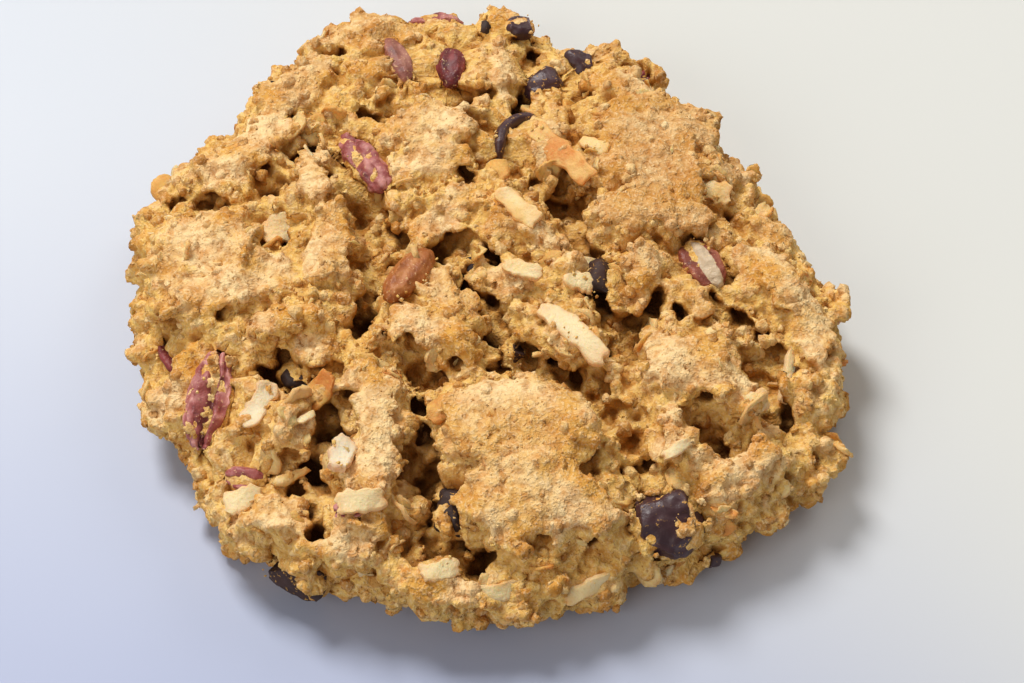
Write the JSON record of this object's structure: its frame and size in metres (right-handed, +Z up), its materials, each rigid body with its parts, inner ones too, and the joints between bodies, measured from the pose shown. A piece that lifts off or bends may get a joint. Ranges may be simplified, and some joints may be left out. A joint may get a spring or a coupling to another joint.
{
  "type": "peanut butter cookie",
  "caption": "Round drop cookie with a cracked, craggy browned top and a flat base, holding rolled oats, coconut flakes, pecan pieces and chocolate pieces.",
  "frame": {"origin": "centre of the box's underside, on the flat base that the cookie lies on", "axes": "+Z up out of the craggy top, +X to the right and +Y away from the viewer of the pictured side"},
  "size_m": [0.086, 0.0876, 0.0175],
  "materials": {
    "dough": "golden brown baked crumb, dry and sandy",
    "chocolate": "dark chocolate, set and slightly dusty",
    "pecan": "red-brown pecan skin with pale flesh",
    "oat": "toasted rolled oat",
    "coconut": "dried coconut flake, toasted at its tips"
  },
  "bodies": {
    "root": {"dough": "dough", "chocolate_1": "chocolate", "chocolate_2": "chocolate", "chocolate_3": "chocolate", "chocolate_4": "chocolate", "chocolate_5": "chocolate", "chocolate_6": "chocolate", "chocolate_7": "chocolate", "chocolate_8": "chocolate", "chocolate_9": "chocolate", "chocolate_10": "chocolate", "chocolate_11": "chocolate", "chocolate_12": "chocolate", "chocolate_13": "chocolate", "chocolate_14": "chocolate", "chocolate_15": "chocolate", "pecan_1": "pecan", "pecan_2": "pecan", "pecan_3": "pecan", "pecan_4": "pecan", "pecan_5": "pecan", "pecan_6": "pecan", "pecan_7": "pecan", "pecan_8": "pecan", "pecan_9": "pecan", "pecan_10": "pecan", "pecan_11": "pecan", "pecan_12": "pecan", "pecan_13": "pecan"}
  },
  "joints": []
}
